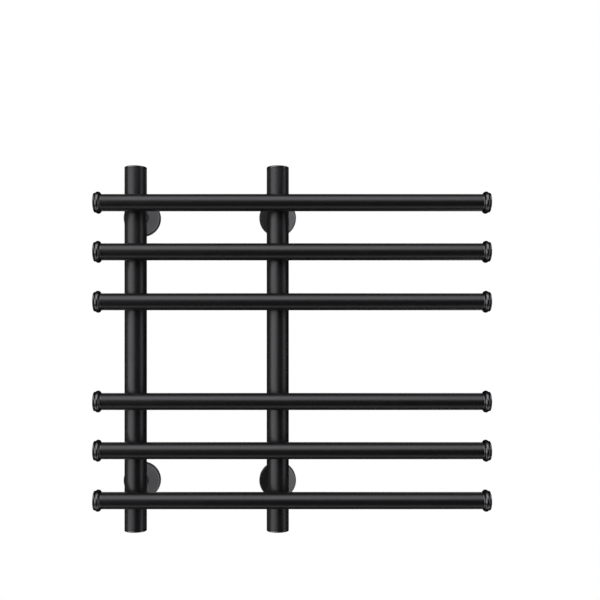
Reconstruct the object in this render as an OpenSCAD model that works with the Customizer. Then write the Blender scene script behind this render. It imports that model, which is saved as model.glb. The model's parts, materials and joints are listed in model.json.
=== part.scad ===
// Wall-hung towel warmer rack: six round bars carried in front of two round posts.
// Four short legs hold the posts off the wall, and the bars reach far out to the right of them.
//
// Frame: +X to the right, +Z up. The wall is the plane y = 0 and the rack stands in front of it,
// at negative y. The origin is midway between the four wall plates, on the wall.

/* [Bars] */
// Outer diameter of the bar tubes
bar_d = 25.4; // [24:0.1:26]
// Wall thickness of the bar tubes
bar_wall = 1.2; // [1:0.1:1.5]
// Height from the middle bar of each group of three to its upper bar
upper_pitch = 73.1; // [73:0.1:75]
// Height from the middle bar of each group of three to its lower bar
lower_pitch = 74.2; // [73:0.1:75]
// Height from the lower group of bars to the upper one
group_spacing = 295.6; // [294:0.1:298]
// How far the two groups' middle lies below the middle of the posts
bar_drop = 3.3; // [3:0.1:4]
// Reach of the bars to the left of the left post's axis
bar_reach_left = 57.1; // [50:0.5:80]
// Reach of the bars to the right of the right post's axis
bar_reach_right = 315.1; // [200:0.1:400]

/* [Bar end caps] */
// Diameter of the flat end disc
disc_d = 29; // [27:0.1:30]
// Thickness of the end disc
disc_t = 1.8; // [1.7:0.1:1.9]
// Diameter of the groove between the disc and the bead
groove_d = 27.6; // [26:0.1:28]
// Largest diameter of the bead
bead_d = 32.8; // [31:0.1:34]
// Radius of the bead's round section
bead_r = 4.3; // [4:0.1:4.3]
// Distance from the end face to the middle of the bead
bead_at = 6; // [6:0.1:7]
// Radius of the hollow fillet between the bead and the tube
cove_r = 1.6; // [1:0.1:2]
// Length of the plug that is pressed into the tube
bar_plug_len = 10; // [6:1:14]

/* [Posts] */
// Height of the posts over their caps
post_h = 552; // [530:1:600]
// Outer diameter of the post tubes
post_d = 33.7; // [32:0.1:35]
// Wall thickness of the post tubes
post_wall = 1.5; // [1.2:0.1:2]
// Distance between the two posts' axes
post_spacing = 216; // [180:1:300]
// Distance from the wall to the posts' axes
post_off = 67.6; // [67:0.1:85]
// Depth to which each bar is let into the posts
saddle_depth = 1.2; // [0.8:0.1:1.4]
// Thickness of the post caps outside the tube
post_cap_t = 3; // [2:0.1:4]
// Length of the plug under each post cap
post_plug_len = 12; // [8:1:20]
// Bevel on each side of the joint between a post and its cap
seam_bevel = 0.4; // [0.2:0.1:0.6]

/* [Legs] */
// Height between the upper and the lower legs
leg_spacing = 418; // [414:1:419]
// Outer diameter of the legs
leg_d = 22; // [20:0.5:22]
// Wall thickness of the legs
leg_wall = 2.5; // [2:0.1:2.5]
// Diameter of the grub screw in the underside of each leg
grub_d = 5; // [4:0.5:5]
// Distance from the wall to the grub screws
grub_at = 8; // [7.5:0.1:9]

/* [Wall plates] */
// Diameter of the plates
plate_d = 48; // [46:1:50]
// Thickness of the plates
plate_t = 4; // [3.5:0.1:4]
// Distance between a plate's two wall screws, one above the other
screw_spacing = 36; // [34:1:36]
// Diameter of the wall screw holes
screw_hole_d = 5.5; // [5:0.1:6]
// Diameter of the countersinks
countersink_d = 10.4; // [10:0.1:11]
// Length of the spigot that each leg slides onto
spigot_len = 22; // [18:1:24]
// Diameter of the bore through the plate and its spigot
plate_bore_d = 10; // [9.8:0.1:10.4]

/* [Covers] */
// Diameter of the round covers
cover_d = 58.5; // [56:0.5:60]
// Depth of the covers
cover_depth = 10; // [9.5:0.1:11]
// Thickness of the covers' sheet
cover_skin = 1.6; // [1.2:0.1:1.8]
// Radius of the covers' front edge
cover_edge_r = 2.5; // [2:0.1:3]
// Gap between the cover's bore and the leg
cover_gap = 0.3; // [0.3:0.1:0.5]
// Thickness of the rubber ring in each cover
ring_t = 2; // [1.8:0.1:2.2]
// Gap between the rubber ring and the leg
ring_gap = 0.08; // [0.05:0.01:0.1]

/* [Heating cable] */
// Diameter of the heating cable
cable_d = 2.5; // [2:0.1:2.6]
// Radius of the cable's bends, along its middle
bend_r = 5.5; // [5:0.1:5.5]
// Sideways distance of the cable from the post's axis where it enters and leaves a bar
lane = 2; // [1.8:0.1:2.2]
// Height of each cable tail above or below the middle of the live leg
tail_rise = 2.5; // [2.2:0.1:2.6]
// Diameter of the holes that lead the cable from the posts into the bars
cable_hole_d = 8.4; // [8:0.1:9]
// Distance from the bar's end face to the middle of the cable's turn
turn_inset = 32; // [30:1:40]

/* [Hidden] */
$fn = 72;
POWDER = [0.13, 0.13, 0.135];
ZINC = [0.62, 0.63, 0.65];
RUBBER = [0.05, 0.05, 0.05];
SILICONE = [0.74, 0.72, 0.66];
CERAMIC = [0.86, 0.85, 0.8];
COPPER_TIN = [0.72, 0.7, 0.66];

// Half the length of a cut that passes right through both posts
through = 1000;
// Extra length where a cutting tool starts outside a part
over = 1;

bar_r = bar_d / 2;
bar_in_r = bar_r - bar_wall;
post_r = post_d / 2;
post_in_r = post_r - post_wall;
leg_r = leg_d / 2;
leg_in_r = leg_r - leg_wall;

post_y = -post_off;
bar_y = post_y - (post_r + bar_r - saddle_depth);
bar_x0 = -post_spacing / 2 - bar_reach_left;
bar_x1 = post_spacing / 2 + bar_reach_right;

// The heights of the bars' axes, from the top bar down
BAR_HEIGHTS = [
    for (group = [1, -1], step = [upper_pitch, 0, -lower_pitch]) group * group_spacing / 2 - bar_drop + step
];
BARS = [for (i = [1 : len(BAR_HEIGHTS)]) i];
SIDES = [["left", -1], ["right", 1]];
CORNERS = [["top_left", -1, 1], ["top_right", 1, 1], ["bottom_left", -1, -1], ["bottom_right", 1, -1]];
// The corner where the supply lead comes out of the wall
LIVE = CORNERS[3];
TOP_BAR = BARS[0];
BOTTOM_BAR = BARS[len(BARS) - 1];

function post_x(side) = side * post_spacing / 2;
function bar_z(i) = BAR_HEIGHTS[i - 1];
// The cable goes through the right post's wall at every bar, and the left post's at the outer two
function cable_crosses(i, side) = side > 0 || i == TOP_BAR || i == BOTTOM_BAR;

// Bar end cap: the length outside the tube follows from the bead and the cove that touches it
disc_edge = 0.7;
cap_wall = 2;
cap_face_t = 4;
plug_gap = 0.1;
bead_centre_r = bead_d / 2 - bead_r;
cove_centre_r = bar_r + cove_r;
cap_len = bead_at + sqrt(pow(bead_r + cove_r, 2) - pow(cove_centre_r - bead_centre_r, 2));

// Post cap
post_cap_edge = 0.8;

// Leg, spigot and grub screw
spigot_gap = 0.05;
spigot_r = leg_in_r - spigot_gap;
grub_fit = 0.05;
grub_tip_r = spigot_r - 1.3;
grub_sunk = 0.2;
grub_socket_d = 2.9;
grub_socket_depth = 1.6;
leg_hole_d = 11;

// Wall plate
plate_bevel = 0.6;
screw_land = 1.6;
earth_at = 19.5;
earth_screw_d = 4;
earth_screw_fit = 0.05;
earth_head_d = 6.8;
earth_head_h = 2.2;
earth_slot_w = 0.8;
earth_slot_depth = 1;
tag_gap = 0.1;
tag_r = 3.5;
tag_t = 0.8;
tag_neck = 1.5;
tag_barrel_r = 1.3;
tag_barrel_len = 7;

// Grommet
grommet_flange_d = 14;
grommet_flange_t = 1.5;
grommet_len = 10;
grommet_bore_d = 6.8;
grommet_fit = 0.05;

// Cover: the collar keeps clear of the wall plate, and holds the rubber ring
cover_front_t = 1.8;
collar_wall = 3.7;
collar_start = 5;
ring_at = 7.5;
ring_side_gap = 0.3;
ring_back_gap = 0.05;
ring_groove_w = ring_t + ring_side_gap;
ring_centre_r = leg_r + ring_gap + ring_t / 2;
ring_groove_r = ring_centre_r + ring_t / 2 + ring_back_gap;

// Cable
cable_r = cable_d / 2;
back_y = bar_y + bend_r;
front_y = bar_y - bend_r;
turn_x0 = bar_x0 + turn_inset;
turn_x1 = bar_x1 - turn_inset;
splice_r = 2;
splice_len = 16;
splice_at = 34;
splice_fit = 0.05;
cutout_r = 4;
cutout_len = 24;
cutout_bevel = 0.8;

// ---- Places ----

module at_post(side) {
    translate([post_x(side), post_y, 0]) children();
}

// Local z runs out from the wall along a leg's axis, and local y runs up
module from_wall(corner) {
    translate([post_x(corner[1]), 0, corner[2] * leg_spacing / 2]) rotate([90, 0, 0]) children();
}

// Local z runs to the right along a bar's axis, from the rack's middle plane
module along_bar(i) {
    translate([0, bar_y, bar_z(i)]) rotate([0, 90, 0]) children();
}

// Local z runs to the back, from a bar's axis to the post behind it
module from_bar_to_post(i, side) {
    translate([post_x(side), bar_y, bar_z(i)]) rotate([-90, 0, 0]) children();
}

module tube(r_out, r_in, h) {
    difference() {
        cylinder(r = r_out, h = h);
        translate([0, 0, -over]) cylinder(r = r_in, h = h + 2 * over);
    }
}

// A revolve's outline with one rounded outer corner at its low end
module rounded_end_outline(r, h, edge) {
    translate([0, edge]) square([r, h - edge]);
    square([r - edge, edge]);
    translate([r - edge, edge]) circle(r = edge);
}

// ---- Posts and their caps ----

module post(side) {
    half = post_h / 2 - post_cap_t;
    color(POWDER) difference() {
        at_post(side) rotate_extrude() polygon([
            [post_in_r, -half],
            [post_r - seam_bevel, -half],
            [post_r, -half + seam_bevel],
            [post_r, half - seam_bevel],
            [post_r - seam_bevel, half],
            [post_in_r, half]
        ]);
        for (i = BARS) {
            along_bar(i) cylinder(r = bar_r, h = 2 * through, center = true);
            if (cable_crosses(i, side)) from_bar_to_post(i, side) cylinder(d = cable_hole_d, h = bar_r + post_r);
        }
        if (side == LIVE[1]) from_wall(LIVE) cylinder(d = leg_hole_d, h = post_off);
    }
}

module post_cap(corner) {
    plug_r = post_in_r - plug_gap;
    color(POWDER) at_post(corner[1]) mirror([0, 0, corner[2] > 0 ? 1 : 0]) translate([0, 0, -post_h / 2])
        rotate_extrude() difference() {
            union() {
                rounded_end_outline(post_r, post_cap_t - seam_bevel, post_cap_edge);
                polygon([
                    [0, post_cap_t - seam_bevel],
                    [post_r, post_cap_t - seam_bevel],
                    [post_r - seam_bevel, post_cap_t],
                    [0, post_cap_t]
                ]);
                square([plug_r, post_cap_t + post_plug_len]);
            }
            translate([0, post_cap_t]) square([plug_r - cap_wall, post_plug_len + over]);
        }
}

// ---- Bars and their end caps ----

module bar(i) {
    color(POWDER) difference() {
        along_bar(i) translate([0, 0, bar_x0 + cap_len])
            tube(bar_r, bar_in_r, bar_x1 - bar_x0 - 2 * cap_len);
        for (s = SIDES) {
            if (cable_crosses(i, s[1])) from_bar_to_post(i, s[1]) cylinder(d = cable_hole_d, h = bar_r + over);
        }
    }
}

// Half section of an end cap: radius to the right, distance in from the end face upwards
module bar_cap_outline() {
    plug_r = bar_in_r - plug_gap;
    difference() {
        union() {
            rounded_end_outline(disc_d / 2, disc_t, disc_edge);
            square([groove_d / 2, bead_at]);
            translate([bead_centre_r, bead_at]) circle(r = bead_r);
            translate([0, bead_at]) square([bar_r, cap_len - bead_at]);
            polygon([
                [bead_centre_r, bead_at],
                [cove_centre_r, cap_len],
                [bar_r, cap_len]
            ]);
            square([plug_r, cap_len + bar_plug_len]);
        }
        translate([cove_centre_r, cap_len]) circle(r = cove_r);
        translate([0, cap_face_t]) square([plug_r - cap_wall, cap_len + bar_plug_len]);
    }
}

module bar_cap(i, side) {
    color(POWDER) along_bar(i) translate([0, 0, side < 0 ? bar_x0 : bar_x1])
        mirror([0, 0, side < 0 ? 0 : 1]) rotate_extrude() bar_cap_outline();
}

// ---- Legs, wall plates and covers ----

module leg(corner) {
    color(POWDER) difference() {
        from_wall(corner) difference() {
            translate([0, 0, plate_t]) tube(leg_r, leg_in_r, post_off - plate_t);
            translate([0, 0, grub_at]) rotate([90, 0, 0]) cylinder(d = grub_d, h = leg_r + over);
        }
        at_post(corner[1]) cylinder(r = post_r, h = post_h, center = true);
    }
}

module plate_screw_holes() {
    for (side = [-1, 1]) translate([0, side * screw_spacing / 2, 0]) {
        translate([0, 0, -over]) cylinder(d = screw_hole_d, h = plate_t + 2 * over);
        translate([0, 0, screw_land])
            cylinder(d1 = screw_hole_d, d2 = countersink_d, h = plate_t - screw_land);
    }
}

module wall_plate(corner) {
    plate_r = plate_d / 2;
    color(ZINC) from_wall(corner) difference() {
        rotate_extrude() polygon([
            [plate_bore_d / 2, 0],
            [plate_r, 0],
            [plate_r, plate_t - plate_bevel],
            [plate_r - plate_bevel, plate_t],
            [spigot_r, plate_t],
            [spigot_r, plate_t + spigot_len - plate_bevel],
            [spigot_r - plate_bevel, plate_t + spigot_len],
            [plate_bore_d / 2, plate_t + spigot_len]
        ]);
        plate_screw_holes();
        translate([0, 0, grub_at]) rotate([90, 0, 0])
            translate([0, 0, grub_tip_r]) cylinder(d = grub_d, h = spigot_r);
        if (corner == LIVE) {
            translate([0, 0, -over])
                cylinder(d = grommet_flange_d + 2 * grommet_fit, h = over + grommet_flange_t);
            translate([earth_at, 0, -over]) cylinder(d = earth_screw_d, h = plate_t + 2 * over);
        }
    }
}

module cover(corner) {
    cover_r = cover_d / 2;
    bore_r = leg_r + cover_gap;
    collar_r = bore_r + collar_wall;
    color(POWDER) from_wall(corner) rotate_extrude() difference() {
        translate([0, cover_depth]) mirror([0, 1]) rounded_end_outline(cover_r, cover_depth, cover_edge_r);
        translate([0, -over]) square([cover_r - cover_skin, over + collar_start]);
        translate([collar_r, -over])
            square([cover_r - cover_skin - collar_r, over + cover_depth - cover_front_t]);
        square([bore_r, cover_depth + over]);
        translate([0, ring_at - ring_groove_w / 2]) square([ring_groove_r, ring_groove_w]);
    }
}

module cover_ring(corner) {
    color(RUBBER) from_wall(corner) rotate_extrude()
        translate([ring_centre_r, ring_at]) circle(d = ring_t, $fn = 32);
}

module grub_screws() {
    screw_len = leg_r - grub_sunk - grub_tip_r;
    color(ZINC) for (c = CORNERS) from_wall(c) translate([0, 0, grub_at]) rotate([90, 0, 0])
        translate([0, 0, grub_tip_r]) difference() {
            cylinder(d = grub_d - 2 * grub_fit, h = screw_len);
            translate([0, 0, screw_len - grub_socket_depth])
                cylinder(d = grub_socket_d, h = grub_socket_depth + over, $fn = 6);
        }
}

// ---- Heating cable and what joins it to the supply ----

module cable_bend(angle) {
    rotate_extrude(angle = angle) translate([bend_r, 0]) circle(r = cable_r, $fn = 24);
}

// A straight stretch of cable; local z runs along it
module cable_run(length) {
    cylinder(r = cable_r, h = length, $fn = 24);
}

// The cable comes out of the post at x_left and at x_right, and goes round both ends of the bar
module cable_in_bar(i, x_left, x_right) {
    turn_in_y = back_y + bend_r;
    pass_len = post_y - bend_r - turn_in_y;
    translate([0, 0, bar_z(i)]) {
        translate([turn_x0, front_y, 0]) rotate([0, 90, 0]) cable_run(turn_x1 - turn_x0);
        translate([turn_x0, back_y, 0]) rotate([0, 90, 0]) cable_run(x_left - bend_r - turn_x0);
        translate([x_right + bend_r, back_y, 0]) rotate([0, 90, 0]) cable_run(turn_x1 - x_right - bend_r);
        translate([turn_x0, bar_y, 0]) rotate(90) cable_bend(180);
        translate([turn_x1, bar_y, 0]) rotate(-90) cable_bend(180);
        translate([x_left - bend_r, turn_in_y, 0]) rotate(-90) cable_bend(90);
        translate([x_right + bend_r, turn_in_y, 0]) rotate(180) cable_bend(90);
        for (x = [x_left, x_right]) translate([x, turn_in_y, 0]) rotate([-90, 0, 0]) cable_run(pass_len);
    }
}

// The cable runs up inside a post from z_low to z_high and turns away at each end:
// a side of -1 is forwards to a bar, and 1 is back to a leg
module cable_in_post(x, z_low, side_low, z_high, side_high) {
    translate([x, post_y, 0]) {
        translate([0, 0, z_low + bend_r]) cable_run(z_high - z_low - 2 * bend_r);
        translate([0, side_low * bend_r, z_low + bend_r]) rotate([90, 0, 90])
            rotate(side_low < 0 ? -90 : 180) cable_bend(90);
        translate([0, side_high * bend_r, z_high - bend_r]) rotate([90, 0, 90])
            rotate(side_high < 0 ? 0 : 90) cable_bend(90);
    }
}

// One unbroken cable: in at the live leg, up the right post with a turn round each bar, across in
// the top bar, down the left post, round the bottom bar and back out at the live leg
module heating_cable() {
    x_right = post_x(1);
    x_left = post_x(-1);
    leg_z = LIVE[2] * leg_spacing / 2;
    tail_end = splice_at + splice_len / 2;
    color(SILICONE) {
        for (i = BARS) cable_in_bar(i, (cable_crosses(i, -1) ? x_left : x_right) - lane, x_right + lane);
        for (i = [TOP_BAR + 1 : BOTTOM_BAR - 1]) {
            cable_in_post(x_right + (i % 2 == 0 ? lane : -lane), bar_z(i), -1, bar_z(i - 1), -1);
        }
        cable_in_post(x_left - lane, bar_z(BOTTOM_BAR), -1, bar_z(TOP_BAR), -1);
        cable_in_post(x_right + lane, leg_z + tail_rise, 1, bar_z(BOTTOM_BAR - 1), -1);
        cable_in_post(x_right + lane, bar_z(BOTTOM_BAR), -1, leg_z - tail_rise, 1);
        for (side = [-1, 1]) from_wall(LIVE) translate([lane, side * tail_rise, tail_end])
            cable_run(post_off - bend_r - tail_end);
    }
}

module thermal_cutout() {
    z_low = LIVE[2] * leg_spacing / 2 + tail_rise;
    z_high = bar_z(BOTTOM_BAR - 1);
    color(CERAMIC) at_post(1) translate([lane, 0, (z_low + z_high - cutout_len) / 2])
        rotate_extrude() polygon([
            [cable_r + splice_fit, 0],
            [cutout_r - cutout_bevel, 0],
            [cutout_r, cutout_bevel],
            [cutout_r, cutout_len - cutout_bevel],
            [cutout_r - cutout_bevel, cutout_len],
            [cable_r + splice_fit, cutout_len]
        ]);
}

module splice_sleeves() {
    color(COPPER_TIN) for (side = [-1, 1]) from_wall(LIVE)
        translate([lane, side * tail_rise, splice_at]) tube(splice_r, cable_r + splice_fit, splice_len);
}

module cable_grommet() {
    color(RUBBER) from_wall(LIVE) difference() {
        union() {
            cylinder(d = grommet_flange_d, h = grommet_flange_t);
            cylinder(d = plate_bore_d - 2 * grommet_fit, h = grommet_len);
        }
        translate([0, 0, -over]) cylinder(d = grommet_bore_d, h = grommet_len + 2 * over);
    }
}

module earth_tag() {
    hole_r = earth_screw_d / 2 + tag_gap;
    color(COPPER_TIN) from_wall(LIVE) translate([earth_at, 0, plate_t]) difference() {
        union() {
            cylinder(r = tag_r, h = tag_t);
            translate([-tag_barrel_r, 0, 0]) cube([2 * tag_barrel_r, tag_r + tag_neck, tag_t]);
            translate([0, tag_r + tag_t / 2, tag_barrel_r]) rotate([-90, 0, 0])
                cylinder(r = tag_barrel_r, h = tag_barrel_len);
        }
        translate([0, 0, -over]) cylinder(r = hole_r, h = 2 * over + tag_t);
        translate([0, tag_r + tag_neck, tag_barrel_r]) rotate([-90, 0, 0])
            cylinder(r = tag_barrel_r - tag_t / 2, h = tag_barrel_len);
    }
}

module earth_screw() {
    color(ZINC) from_wall(LIVE) translate([earth_at, 0, plate_t + tag_t]) difference() {
        union() {
            cylinder(d = earth_head_d, h = earth_head_h);
            translate([0, 0, -plate_t]) cylinder(d = earth_screw_d - 2 * earth_screw_fit, h = plate_t + over);
        }
        translate([0, 0, earth_head_h - earth_slot_depth / 2])
            cube([earth_head_d + over, earth_slot_w, earth_slot_depth], center = true);
    }
}

// ---- Drawing ----

for (s = SIDES) {
    post(s[1]);
}
for (c = CORNERS) {
    post_cap(c);
    leg(c);
    wall_plate(c);
    cover(c);
    cover_ring(c);
}
for (i = BARS) {
    bar(i);
    for (s = SIDES) {
        bar_cap(i, s[1]);
    }
}
grub_screws();
heating_cable();
thermal_cutout();
splice_sleeves();
cable_grommet();
earth_tag();
earth_screw();
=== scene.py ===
"""Looks of the wall-hung towel warmer rack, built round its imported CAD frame.

Every CAD node keeps its own mesh and gets a procedural finish. The weld beads between the tubes are the only
added pieces. All lengths are in metres, in the frame of the CAD model: +X right, +Z up, the wall at y = 0.
"""

import json
import math

import bmesh
import bpy
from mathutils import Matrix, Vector


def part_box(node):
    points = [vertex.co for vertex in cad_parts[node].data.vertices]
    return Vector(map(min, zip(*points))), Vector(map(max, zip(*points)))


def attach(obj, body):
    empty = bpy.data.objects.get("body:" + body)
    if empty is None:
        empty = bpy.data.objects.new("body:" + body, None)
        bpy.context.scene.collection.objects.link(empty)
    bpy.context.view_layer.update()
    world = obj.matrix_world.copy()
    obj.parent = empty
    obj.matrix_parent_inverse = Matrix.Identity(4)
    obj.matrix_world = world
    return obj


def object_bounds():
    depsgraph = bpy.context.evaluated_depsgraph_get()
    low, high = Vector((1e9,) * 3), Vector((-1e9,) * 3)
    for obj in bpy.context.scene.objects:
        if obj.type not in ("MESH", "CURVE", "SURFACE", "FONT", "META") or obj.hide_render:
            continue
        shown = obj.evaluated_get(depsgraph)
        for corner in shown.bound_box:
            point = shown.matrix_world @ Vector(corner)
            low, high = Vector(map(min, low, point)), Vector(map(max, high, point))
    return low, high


# ---- View ----
# The camera looks square at the wall, from near the middle of the rack.
CAMERA_AT = Vector((0.1046, -1.3349, -0.0014))
LENS_MM = 50
SENSOR_MM = 36
# Shift of the lens as a share of the picture, which keeps the tubes square to it
LENS_SHIFT_X = 0.0408
LENS_SHIFT_Y = 0.0833

# ---- Studio ----
FLOOR_BELOW_RACK = 0.9
FLOOR_SIZE = 12
# Far enough for the light to be the same all along a bar
LIGHT_DISTANCE = 12
SOFT_WHITE = (1.0, 0.99, 1.0)
ROOM_GREY = (0.005, 0.005, 0.0055)

# ---- Names in the CAD frame ----
SIDES = ("left", "right")
LEVELS = ("top", "bottom")
BARS = range(1, 7)

# ---- Weld beads ----
# Radii of the balls that would just rest in the corner that each bead fills
BAR_BEAD_RADIUS = 0.002
LEG_BEAD_RADIUS = 0.0028
BEAD_SECTIONS = 144
BEAD_RIPPLES = 24
BEAD_ARC_POINTS = 5
# How far a bead stands out from the straight line between its toes, and how much of that its ripples vary
BEAD_BULGE = 0.0004
RIPPLE_SHARE = 0.35
# A ball's middle is nearer the post's axis than this.
FARTHEST_REACH = 0.03
HALVINGS = 40


# ---- Finishes ----


class Finish:
    """A procedural material: a Principled shader and the nodes that feed it."""

    def __init__(self, name):
        self.material = bpy.data.materials.new(name)
        self.material.use_nodes = True
        self.tree = self.material.node_tree
        self.tree.nodes.clear()
        self.shader = self.tree.nodes.new("ShaderNodeBsdfPrincipled")
        output = self.tree.nodes.new("ShaderNodeOutputMaterial")
        self.tree.links.new(self.shader.outputs["BSDF"], output.inputs["Surface"])
        self.place = self.tree.nodes.new("ShaderNodeTexCoord").outputs["Object"]

    def feed(self, node, inputs):
        """Joins each input, known by its name or number, to a socket, or sets it to a value."""
        for name, value in inputs.items():
            if isinstance(value, bpy.types.NodeSocket):
                self.tree.links.new(value, node.inputs[name])
            else:
                node.inputs[name].default_value = value

    def add(self, kind, output, inputs, **settings):
        """Adds a node and returns the named output."""
        node = self.tree.nodes.new("ShaderNode" + kind)
        for name, value in settings.items():
            setattr(node, name, value)
        self.feed(node, inputs)
        return node.outputs[output]

    def surface(self, inputs):
        self.feed(self.shader, inputs)

    def noise(self, scale, detail=2.0):
        return self.add("TexNoise", "Fac", {"Vector": self.place, "Scale": scale, "Detail": detail})

    def spread(self, value, low, high, start=0.3, end=0.7):
        """Maps a value between start and end to the range from low to high."""
        inputs = {"Value": value, "From Min": start, "From Max": end, "To Min": low, "To Max": high}
        return self.add("MapRange", "Result", inputs)

    def blend(self, factor, first, second):
        """A colour between two others; each may be a colour or a socket."""
        inputs = {"Factor": factor}
        for name, colour in (("A", first), ("B", second)):
            inputs[name] = colour if isinstance(colour, bpy.types.NodeSocket) else (*colour, 1)
        return self.add("Mix", "Result", inputs, data_type="RGBA")

    def product(self, first, second):
        return self.add("Math", "Value", {0: first, 1: second}, operation="MULTIPLY")

    def relief(self, height, depth):
        """Bumps the surface by a height between 0 and 1 times the depth in metres."""
        self.surface({"Normal": self.add("Bump", "Normal", {"Height": height, "Distance": depth})})

    def edges(self, radius):
        """1 on edges sharper than the radius, 0 on open surfaces."""
        rounded = self.add("Bevel", "Normal", {"Radius": radius}, samples=4)
        sharp = self.add("NewGeometry", "Normal", {})
        agreement = self.add("VectorMath", "Value", {0: rounded, 1: sharp}, operation="DOT_PRODUCT")
        return self.spread(agreement, 1.0, 0.0, start=0.85, end=0.98)


def powder_coat(name, roughness, index=1.5):
    """Satin black powder coat: grain, orange peel, a slightly uneven gloss and lighter, rubbed edges."""
    finish = Finish(name)
    grain = finish.noise(2200)
    cloud = finish.noise(28, detail=3)
    peel = finish.noise(600, detail=3)
    rubbed = finish.product(finish.edges(0.0008), finish.spread(finish.noise(90, detail=4), 0.0, 1.0))
    coat = finish.blend(grain, (0.0012, 0.0012, 0.0013), (0.0042, 0.0042, 0.0044))
    finish.surface({
        "Base Color": finish.blend(rubbed, coat, (0.011, 0.011, 0.0115)),
        "Roughness": finish.spread(cloud, roughness - 0.02, roughness + 0.02),
        "IOR": index,
        "Specular Tint": (0.97, 0.96, 1.0, 1),
    })
    finish.relief(peel, 0.000016)
    return finish.material


def turned_steel(name, plate):
    """Turned stainless steel, with tool rings round the axis of each plate.

    The plates mirror each other about the middle of the CAD frame, so one plate's axis stands for all.
    """
    finish = Finish(name)
    low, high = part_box(plate)
    axis = (low + high) / 2
    mirrored = finish.add("VectorMath", "Vector", {0: finish.place}, operation="ABSOLUTE")
    centre = (abs(axis.x), 0, abs(axis.z))
    offset = finish.add("VectorMath", "Vector", {0: mirrored, 1: centre}, operation="SUBTRACT")
    flat = finish.add("VectorMath", "Vector", {0: offset, 1: (1, 0, 1)}, operation="MULTIPLY")
    radius = finish.add("VectorMath", "Value", {0: flat}, operation="LENGTH")
    rings = finish.add("TexNoise", "Fac", {"W": radius, "Scale": 2600, "Detail": 2.0}, noise_dimensions="1D")
    stain = finish.noise(60, detail=4)
    finish.surface({
        "Metallic": 1.0,
        "Base Color": finish.blend(stain, (0.48, 0.48, 0.49), (0.62, 0.63, 0.64)),
        "Roughness": finish.spread(rings, 0.24, 0.42),
    })
    finish.relief(rings, 0.00002)
    return finish.material


def bright_steel(name):
    """Screw steel: bright, with fine marks and a few dull patches."""
    finish = Finish(name)
    marks = finish.noise(1500, detail=3)
    patches = finish.noise(240, detail=4)
    finish.surface({
        "Metallic": 1.0,
        "Base Color": finish.blend(patches, (0.42, 0.42, 0.43), (0.58, 0.58, 0.59)),
        "Roughness": finish.spread(patches, 0.2, 0.38),
    })
    finish.relief(marks, 0.000006)
    return finish.material


def black_rubber(name):
    """Moulded black rubber with a greyish bloom."""
    finish = Finish(name)
    bloom = finish.spread(finish.noise(180, detail=4), 0.0, 1.0)
    skin = finish.noise(1800, detail=2)
    finish.surface({
        "Base Color": finish.blend(bloom, (0.011, 0.011, 0.011), (0.026, 0.026, 0.027)),
        "Roughness": finish.spread(bloom, 0.62, 0.8, start=0.0, end=1.0),
    })
    finish.relief(skin, 0.00002)
    return finish.material


def silicone(name):
    """Cable sheath of cream silicone, dusty in places."""
    finish = Finish(name)
    dust = finish.spread(finish.noise(120, detail=4), 0.0, 1.0)
    skin = finish.noise(900, detail=2)
    finish.surface({
        "Base Color": finish.blend(dust, (0.62, 0.59, 0.52), (0.53, 0.5, 0.43)),
        "Roughness": finish.spread(dust, 0.4, 0.6, start=0.0, end=1.0),
    })
    finish.relief(skin, 0.00003)
    return finish.material


def ceramic(name):
    """Pale fired ceramic with darker specks."""
    finish = Finish(name)
    specks = finish.spread(finish.noise(1600, detail=2), 0.0, 1.0, start=0.62, end=0.7)
    body = finish.blend(finish.noise(200, detail=3), (0.78, 0.76, 0.71), (0.7, 0.68, 0.62))
    finish.surface({
        "Base Color": finish.blend(specks, body, (0.36, 0.3, 0.24)),
        "Roughness": finish.spread(finish.noise(500), 0.35, 0.55),
    })
    finish.relief(finish.noise(1100, detail=3), 0.00002)
    return finish.material


def tinned_copper(name):
    """Tin over copper, thin and warm where it has been rubbed."""
    finish = Finish(name)
    rubbed = finish.spread(finish.noise(320, detail=4), 0.0, 1.0, start=0.5, end=0.75)
    finish.surface({
        "Metallic": 1.0,
        "Base Color": finish.blend(rubbed, (0.64, 0.62, 0.58), (0.66, 0.46, 0.34)),
        "Roughness": finish.spread(finish.noise(700, detail=3), 0.25, 0.45),
    })
    finish.relief(finish.noise(1300, detail=2), 0.000008)
    return finish.material


def make_finishes():
    """One material for each of the record's material slots."""
    return {
        "black_posts": powder_coat("powder_coat_posts", 0.36),
        "black_bars": powder_coat("powder_coat_bars", 0.36),
        "black_caps": powder_coat("powder_coat_caps", 0.28, index=1.85),
        "black_covers": powder_coat("powder_coat_covers", 0.54),
        "zinc_plate": turned_steel("turned_steel", "wall_plate_top_right"),
        "steel_screws": bright_steel("bright_steel"),
        "rubber": black_rubber("black_rubber"),
        "silicone_sheath": silicone("silicone"),
        "ceramic_can": ceramic("ceramic"),
        "tinned_copper": tinned_copper("tinned_copper"),
    }


# ---- Weld beads ----


def solve(gap):
    """The distance at which a falling function crosses zero, found by halving."""
    low, high = 0.0, FARTHEST_REACH
    for _ in range(HALVINGS):
        middle = (low + high) / 2
        if gap(middle) > 0:
            low = middle
        else:
            high = middle
    return low


def chord(radius, offset):
    """How far a circle reaches at an offset from its middle."""
    return math.sqrt(max(radius ** 2 - offset ** 2, 0))


def bead_section(first, second, root, ripple):
    """The outline of a bead between its two toes and its root, bulging away from the root."""
    out = ((first + second) / 2 - root).normalized()
    height = BEAD_BULGE * (1 + RIPPLE_SHARE * ripple)
    points = [root]
    for i in range(BEAD_ARC_POINTS):
        share = i / (BEAD_ARC_POINTS - 1)
        # A parabola that reaches 1 halfway between the toes
        arc = 4 * share * (1 - share)
        points.append(first.lerp(second, share) + out * height * arc)
    return points


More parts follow.
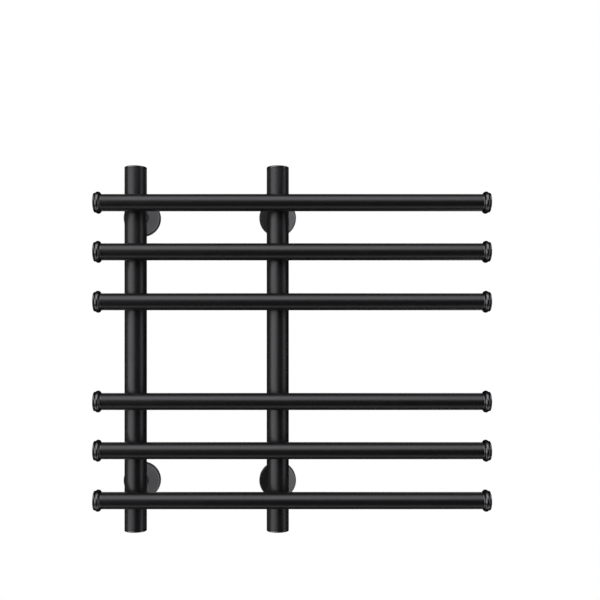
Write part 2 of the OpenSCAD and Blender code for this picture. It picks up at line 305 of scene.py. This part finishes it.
def bar_bead_section(turn, bar_r, post_r, spacing):
    """A section of the bead between a bar and a post, about the post's axis at the bar's height."""

    def ball(radius):
        """The middle of a ball of that radius resting on both tubes, in the direction of the turn."""

        def gap(reach):
            behind_bar = chord(bar_r + radius, reach * math.sin(turn))
            before_post = chord(post_r + radius, reach * math.cos(turn))
            return behind_bar + before_post - spacing

        reach = solve(gap)
        across = reach * math.cos(turn)
        return Vector((across, -chord(post_r + radius, across), reach * math.sin(turn)))

    middle = ball(BAR_BEAD_RADIUS)
    on_post = Vector((middle.x, middle.y, 0)) * post_r / (post_r + BAR_BEAD_RADIUS)
    on_post.z = middle.z
    on_bar = Vector((0, middle.y + spacing, middle.z)) * bar_r / (bar_r + BAR_BEAD_RADIUS)
    on_bar += Vector((middle.x, -spacing, 0))
    return on_bar, on_post, ball(0)


def leg_bead_section(turn, leg_r, post_r):
    """A section of the bead round a leg at a post, about the post's axis at the leg's height."""
    across, up = math.cos(turn), math.sin(turn)
    wide = leg_r + LEG_BEAD_RADIUS
    middle = Vector((wide * across, chord(post_r + LEG_BEAD_RADIUS, wide * across), wide * up))
    on_leg = Vector((leg_r * across, middle.y, leg_r * up))
    on_post = Vector((middle.x, middle.y, 0)) * post_r / (post_r + LEG_BEAD_RADIUS)
    on_post.z = middle.z
    root = Vector((leg_r * across, chord(post_r, leg_r * across), leg_r * up))
    return on_leg, on_post, root


def turn_outward(mesh):
    """Turns every face of a closed mesh outward."""
    shape = bmesh.new()
    shape.from_mesh(mesh)
    bmesh.ops.recalc_face_normals(shape, faces=shape.faces)
    shape.to_mesh(mesh)
    shape.free()


def add_bead(name, section_at, centre, material):
    """A closed bead through the sections of one turn, moving with the rack."""
    points = []
    for i in range(BEAD_SECTIONS):
        turn = 2 * math.pi * i / BEAD_SECTIONS
        first, second, root = section_at(turn)
        outline = bead_section(first, second, root, math.cos(turn * BEAD_RIPPLES))
        points += [centre + point for point in outline]
    around = BEAD_ARC_POINTS + 1
    faces = []
    for i in range(BEAD_SECTIONS):
        here = i * around
        ahead = (i + 1) % BEAD_SECTIONS * around
        for j in range(around):
            k = (j + 1) % around
            faces.append((here + j, here + k, ahead + k, ahead + j))
    mesh = bpy.data.meshes.new(name)
    mesh.from_pydata(points, [], faces)
    turn_outward(mesh)
    mesh.shade_smooth()
    mesh.materials.append(material)
    bead = bpy.data.objects.new(name, mesh)
    bpy.context.scene.collection.objects.link(bead)
    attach(bead, "rack")


def half_size(node, axis):
    """Half the size of a node's box along an axis, which is a round tube's radius across the tube."""
    low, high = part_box(node)
    return (high[axis] - low[axis]) / 2


def middle_of(node):
    """The middle of a node's box."""
    low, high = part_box(node)
    return (low + high) / 2


def add_beads(material):
    """The beads where each bar and each leg is welded to a post."""
    bar_r = half_size("bar_1", 2)
    leg_r = half_size("leg_top_left", 0)
    post_r = half_size("post_left", 0)
    spacing = middle_of("post_left").y - middle_of("bar_1").y
    for side in SIDES:
        post = middle_of("post_" + side)
        for i in BARS:
            centre = Vector((post.x, post.y, middle_of(f"bar_{i}").z))
            add_bead(f"bead_bar_{i}_{side}", lambda turn: bar_bead_section(turn, bar_r, post_r, spacing),
                     centre, material)
        for level in LEVELS:
            centre = Vector((post.x, post.y, middle_of(f"leg_{level}_{side}").z))
            add_bead(f"bead_leg_{level}_{side}", lambda turn: leg_bead_section(turn, leg_r, post_r),
                     centre, material)


# ---- Studio ----


def collect(name, objects):
    """Puts objects in a new collection, for light linking."""
    collection = bpy.data.collections.new(name)
    for obj in objects:
        collection.objects.link(obj)
    return collection


def add_softbox(name, azimuth, elevation, width, height, brightness, only_for=None, shaded_by=None):
    """A far softbox that faces the rack, placed and sized in degrees as seen from the rack.

    Azimuth is to the right of the view and elevation above it. The light can be kept to some objects only,
    and its shadows can be left to some objects only.
    """
    a = math.radians(azimuth)
    e = math.radians(elevation)
    towards = Vector((math.sin(a) * math.cos(e), -math.cos(a) * math.cos(e), math.sin(e)))
    data = bpy.data.lights.new(name, "AREA")
    data.shape = "RECTANGLE"
    data.size = 2 * LIGHT_DISTANCE * math.tan(math.radians(width / 2))
    data.size_y = 2 * LIGHT_DISTANCE * math.tan(math.radians(height / 2))
    # The power grows with the area, so that a softbox of any size looks equally bright.
    data.energy = brightness * math.pi * data.size * data.size_y
    data.color = SOFT_WHITE
    light = bpy.data.objects.new(name, data)
    light.location = towards * LIGHT_DISTANCE
    light.rotation_mode = "QUATERNION"
    light.rotation_quaternion = towards.to_track_quat("Z", "Y")
    light.visible_camera = False
    bpy.context.scene.collection.objects.link(light)
    if only_for:
        light.light_linking.receiver_collection = collect(name + "_receivers", only_for)
    if shaded_by:
        light.light_linking.blocker_collection = collect(name + "_blockers", shaded_by)


def add_lights(posts, covers, no_caps):
    """A key from the left, a rim from the right, tops and bottoms for the bars, and weak lights behind."""
    add_softbox("key_left", azimuth=-52, elevation=2, width=48, height=40, brightness=2.85)
    # Kept off the bars, where it would show only at their left ends
    add_softbox("key_left_inner", azimuth=-17, elevation=0, width=20, height=30, brightness=2.0,
                only_for=posts)
    add_softbox("rim_left", azimuth=-103, elevation=0, width=18, height=30, brightness=0.35)
    add_softbox("rim_right", azimuth=73, elevation=1, width=24, height=40, brightness=1.5)
    add_softbox("top", azimuth=-5, elevation=48, width=60, height=46, brightness=2.9)
    add_softbox("overhead", azimuth=0, elevation=78, width=90, height=14, brightness=1.2)
    add_softbox("bottom", azimuth=0, elevation=-73, width=90, height=20, brightness=1.0)
    # The lights behind are kept off the caps, whose rims would shine with them from the front.
    for azimuth in (-150, 150):
        add_softbox(f"back_{azimuth}", azimuth, elevation=30, width=40, height=30, brightness=0.9,
                    only_for=no_caps)
    for azimuth in (-135, 135):
        add_softbox(f"low_{azimuth}", azimuth, elevation=-35, width=44, height=24, brightness=1.6,
                    only_for=no_caps)
    for azimuth in (-75, 75):
        add_softbox(f"side_{azimuth}", azimuth, elevation=-45, width=44, height=24, brightness=1.0)
    # The bars would keep this one off the covers, so only posts and covers cast its shadows.
    add_softbox("covers", azimuth=17, elevation=0, width=12, height=40, brightness=31,
                only_for=covers, shaded_by=posts + covers)


def add_camera():
    data = bpy.data.cameras.new("camera")
    data.lens = LENS_MM
    data.sensor_width = SENSOR_MM
    data.shift_x = LENS_SHIFT_X
    data.shift_y = LENS_SHIFT_Y
    camera = bpy.data.objects.new("camera", data)
    camera.location = CAMERA_AT
    camera.rotation_euler = (math.radians(90), 0, 0)
    bpy.context.scene.collection.objects.link(camera)
    bpy.context.scene.camera = camera


def white_to_camera(tree, other, output):
    """Joins a shader to the output, with plain white in its place where the camera looks straight at it."""
    kind = "ShaderNodeBackground" if output.bl_idname == "ShaderNodeOutputWorld" else "ShaderNodeEmission"
    white = tree.nodes.new(kind)
    white.inputs["Color"].default_value = (1, 1, 1, 1)
    path = tree.nodes.new("ShaderNodeLightPath")
    mix = tree.nodes.new("ShaderNodeMixShader")
    tree.links.new(path.outputs["Is Camera Ray"], mix.inputs["Fac"])
    tree.links.new(other.outputs[0], mix.inputs[1])
    tree.links.new(white.outputs[0], mix.inputs[2])
    tree.links.new(mix.outputs["Shader"], output.inputs["Surface"])


def add_world():
    """A dark room to the rack, white to the camera."""
    world = bpy.data.worlds.new("studio")
    bpy.context.scene.world = world
    world.use_nodes = True
    tree = world.node_tree
    tree.nodes.clear()
    room = tree.nodes.new("ShaderNodeBackground")
    room.inputs["Color"].default_value = (*ROOM_GREY, 1)
    white_to_camera(tree, room, tree.nodes.new("ShaderNodeOutputWorld"))


def add_floor(low):
    """A white floor well below the rack."""
    half = FLOOR_SIZE / 2
    z = low.z - FLOOR_BELOW_RACK
    corners = [(x * half, y * half, z) for x, y in ((-1, -1), (1, -1), (1, 1), (-1, 1))]
    mesh = bpy.data.meshes.new("floor")
    mesh.from_pydata(corners, [], [(0, 1, 2, 3)])
    floor = bpy.data.objects.new("floor", mesh)
    bpy.context.scene.collection.objects.link(floor)
    material = bpy.data.materials.new("floor_white")
    material.use_nodes = True
    tree = material.node_tree
    tree.nodes.clear()
    paint = tree.nodes.new("ShaderNodeBsdfDiffuse")
    white_to_camera(tree, paint, tree.nodes.new("ShaderNodeOutputMaterial"))
    mesh.materials.append(material)
    # The lowest softbox shines up through the floor.
    floor.visible_shadow = False
    floor.visible_glossy = False


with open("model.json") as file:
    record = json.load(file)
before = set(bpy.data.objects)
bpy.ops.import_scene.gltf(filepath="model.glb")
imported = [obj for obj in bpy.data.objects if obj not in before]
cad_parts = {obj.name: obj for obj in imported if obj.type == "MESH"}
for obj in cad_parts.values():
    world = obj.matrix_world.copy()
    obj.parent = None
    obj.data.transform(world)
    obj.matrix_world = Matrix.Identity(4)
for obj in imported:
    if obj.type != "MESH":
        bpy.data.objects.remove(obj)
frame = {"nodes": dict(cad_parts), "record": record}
cad_low, cad_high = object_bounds()

finishes = make_finishes()
for part in frame["record"]["subparts"]:
    shown = frame["nodes"][part["node"]].data.materials
    shown.clear()
    shown.append(finishes[part["material_slot"]])
add_beads(finishes["black_posts"])

add_camera()
add_world()
add_floor(cad_low)
posts = [obj for name, obj in frame["nodes"].items() if name.startswith("post_")]
covers = [frame["nodes"][f"cover_{level}_{side}"] for level in LEVELS for side in SIDES]
no_caps = [obj for obj in bpy.context.scene.objects if obj.type == "MESH" and "_cap_" not in obj.name]
add_lights(posts, covers, no_caps)
bpy.context.scene.view_settings.view_transform = "Standard"
